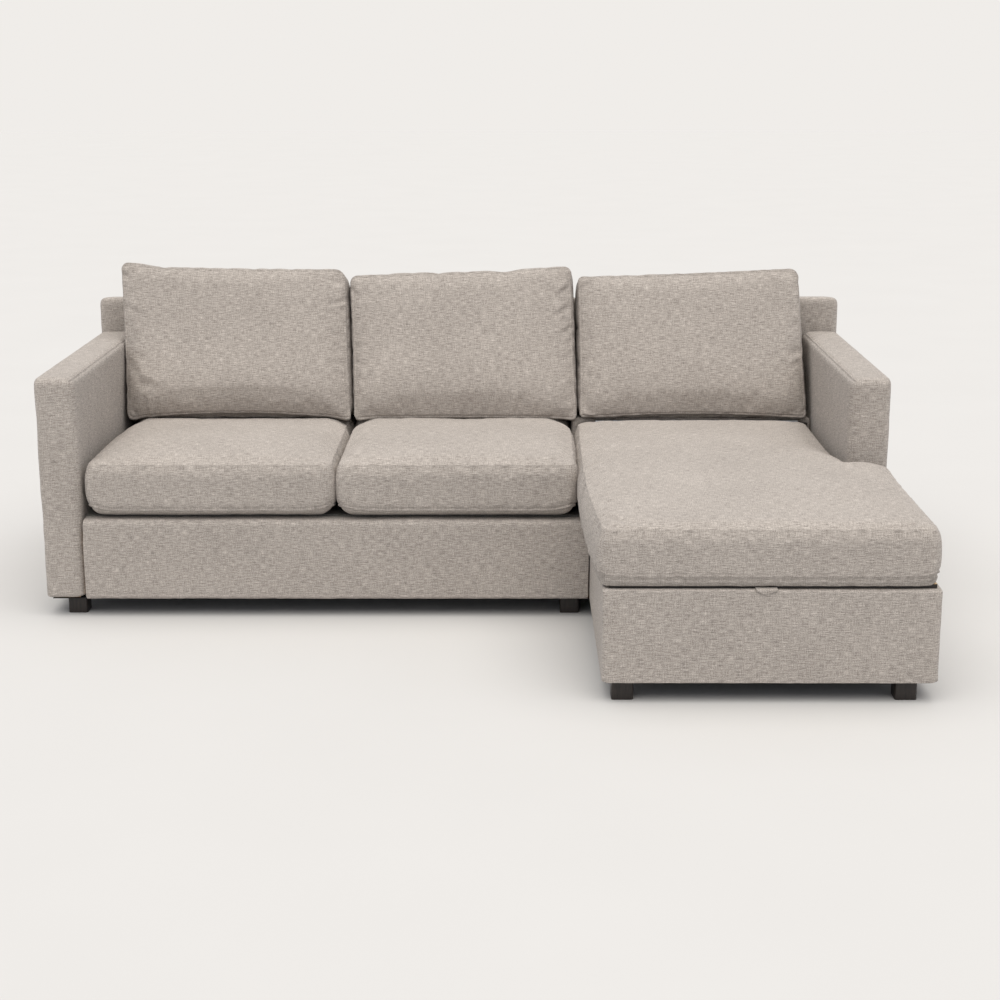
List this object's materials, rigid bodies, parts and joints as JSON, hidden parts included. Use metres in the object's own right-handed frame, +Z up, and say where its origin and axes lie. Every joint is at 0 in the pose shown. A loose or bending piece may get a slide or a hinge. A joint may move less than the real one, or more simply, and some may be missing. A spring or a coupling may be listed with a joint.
{
  "type": "sectional sofa",
  "caption": "Two-section sofa with a storage chaise: slab arms, loose boxed seat and back cushions, and a hinged lid under the L-shaped chaise cushion.",
  "frame": {"origin": "on the floor, under the middle of the overall footprint", "axes": "+X to the right as seen from the front, +Y to the rear, +Z up"},
  "size_m": [2.26, 1.64, 0.8585],
  "materials": {
    "fabric": "heathered warm grey linen-look weave, matt",
    "timber": "sawn pine, unfinished",
    "plywood": "birch plywood, unfinished",
    "felt": "grey needled deck felt",
    "black_cloth": "black spunbond dust cloth",
    "dark_wood": "black-brown stained beech, satin",
    "spring_steel": "oiled spring wire",
    "zinc": "bright zinc plate",
    "black_steel": "black satin paint"
  },
  "bodies": {
    "root": {"arm_left_cover": "fabric", "arm_left_frame": "timber", "arm_right_cover": "fabric", "arm_right_frame": "timber", "sofa_back_cover": "fabric", "sofa_back_frame": "timber", "chaise_back_cover": "fabric", "chaise_back_frame": "timber", "seat_frame": "timber", "seat_springs": "spring_steel", "seat_deck_pad": "felt", "front_rail_cover": "fabric", "chaise_base_cover": "fabric", "box_front_board": "timber", "box_left_board": "timber", "box_right_board": "timber", "box_return_rail": "timber", "box_inner_right_board": "timber", "box_rear_partition": "timber", "base_rear_board": "timber", "box_floor_board": "plywood", "chaise_rear_deck": "fabric", "hinge_fixed_leaf": "zinc", "hinge_pin": "zinc", "strut_base_bracket_left": "zinc", "strut_base_bracket_right": "zinc", "connector_front_tongue": "zinc", "connector_front_keeper": "zinc", "connector_rear_tongue": "zinc", "connector_rear_keeper": "zinc", "sofa_dust_cover": "black_cloth", "chaise_dust_cover": "black_cloth", "foot_sofa_front_left": "dark_wood", "foot_sofa_front_right": "dark_wood", "foot_sofa_rear_left": "dark_wood", "foot_sofa_rear_right": "dark_wood", "foot_chaise_front_left": "dark_wood", "foot_chaise_front_right": "dark_wood", "foot_chaise_rear_left": "dark_wood", "foot_chaise_rear_right": "dark_wood"},
    "chaise_lid": {"lid_board": "plywood", "chaise_cushion": "fabric", "hinge_lid_leaf": "zinc", "strut_lid_bracket_left": "zinc", "strut_lid_bracket_right": "zinc", "pull_tab": "fabric"},
    "strut_tubes": {"strut_tube_left": "black_steel", "strut_tube_right": "black_steel"},
    "strut_rods": {"strut_rod_left": "zinc", "strut_rod_right": "zinc"},
    "seat_left": {"seat_cushion_left": "fabric"},
    "seat_centre": {"seat_cushion_centre": "fabric"},
    "back_left": {"back_cushion_left": "fabric"},
    "back_centre": {"back_cushion_centre": "fabric"},
    "back_right": {"back_cushion_right": "fabric"}
  },
  "joints": [
    {"name": "chaise_lid_lift", "type": "hinge", "parent": "root", "child": "chaise_lid", "pos_m": [0.6805, 0.44, 0.42], "axis": [-1, 0, 0], "range_deg": [0, 38]},
    {"name": "strut_swing", "type": "hinge", "parent": "root", "child": "strut_tubes", "pos_m": [0.6805, 0.34, 0.085], "axis": [-1, 0, 0], "range_deg": [0, 20.4]},
    {"name": "strut_travel", "type": "slide", "parent": "strut_tubes", "child": "strut_rods", "axis": [0, -0.8, 0.6], "range_m": [0, 0.1988]},
    {"name": "seat_left_pull", "type": "slide", "parent": "root", "child": "seat_left", "axis": [0, -1, 0], "range_m": [0, 0.85]},
    {"name": "seat_centre_pull", "type": "slide", "parent": "root", "child": "seat_centre", "axis": [0, -1, 0], "range_m": [0, 0.85]},
    {"name": "back_left_lift", "type": "slide", "parent": "root", "child": "back_left", "axis": [-0.035, 0, 0.9994], "range_m": [0, 0.36]},
    {"name": "back_centre_lift", "type": "slide", "parent": "root", "child": "back_centre", "axis": [-0.035, 0, 0.9994], "range_m": [0, 0.36]},
    {"name": "back_right_lift", "type": "slide", "parent": "root", "child": "back_right", "axis": [-0.035, 0, 0.9994], "range_m": [0, 0.36]}
  ],
  "couplings": [
    {"joint": "strut_swing", "follows": "chaise_lid_lift", "ratio": 0.5342},
    {"joint": "strut_travel", "follows": "chaise_lid_lift", "m_per_rad": 0.29961}
  ]
}
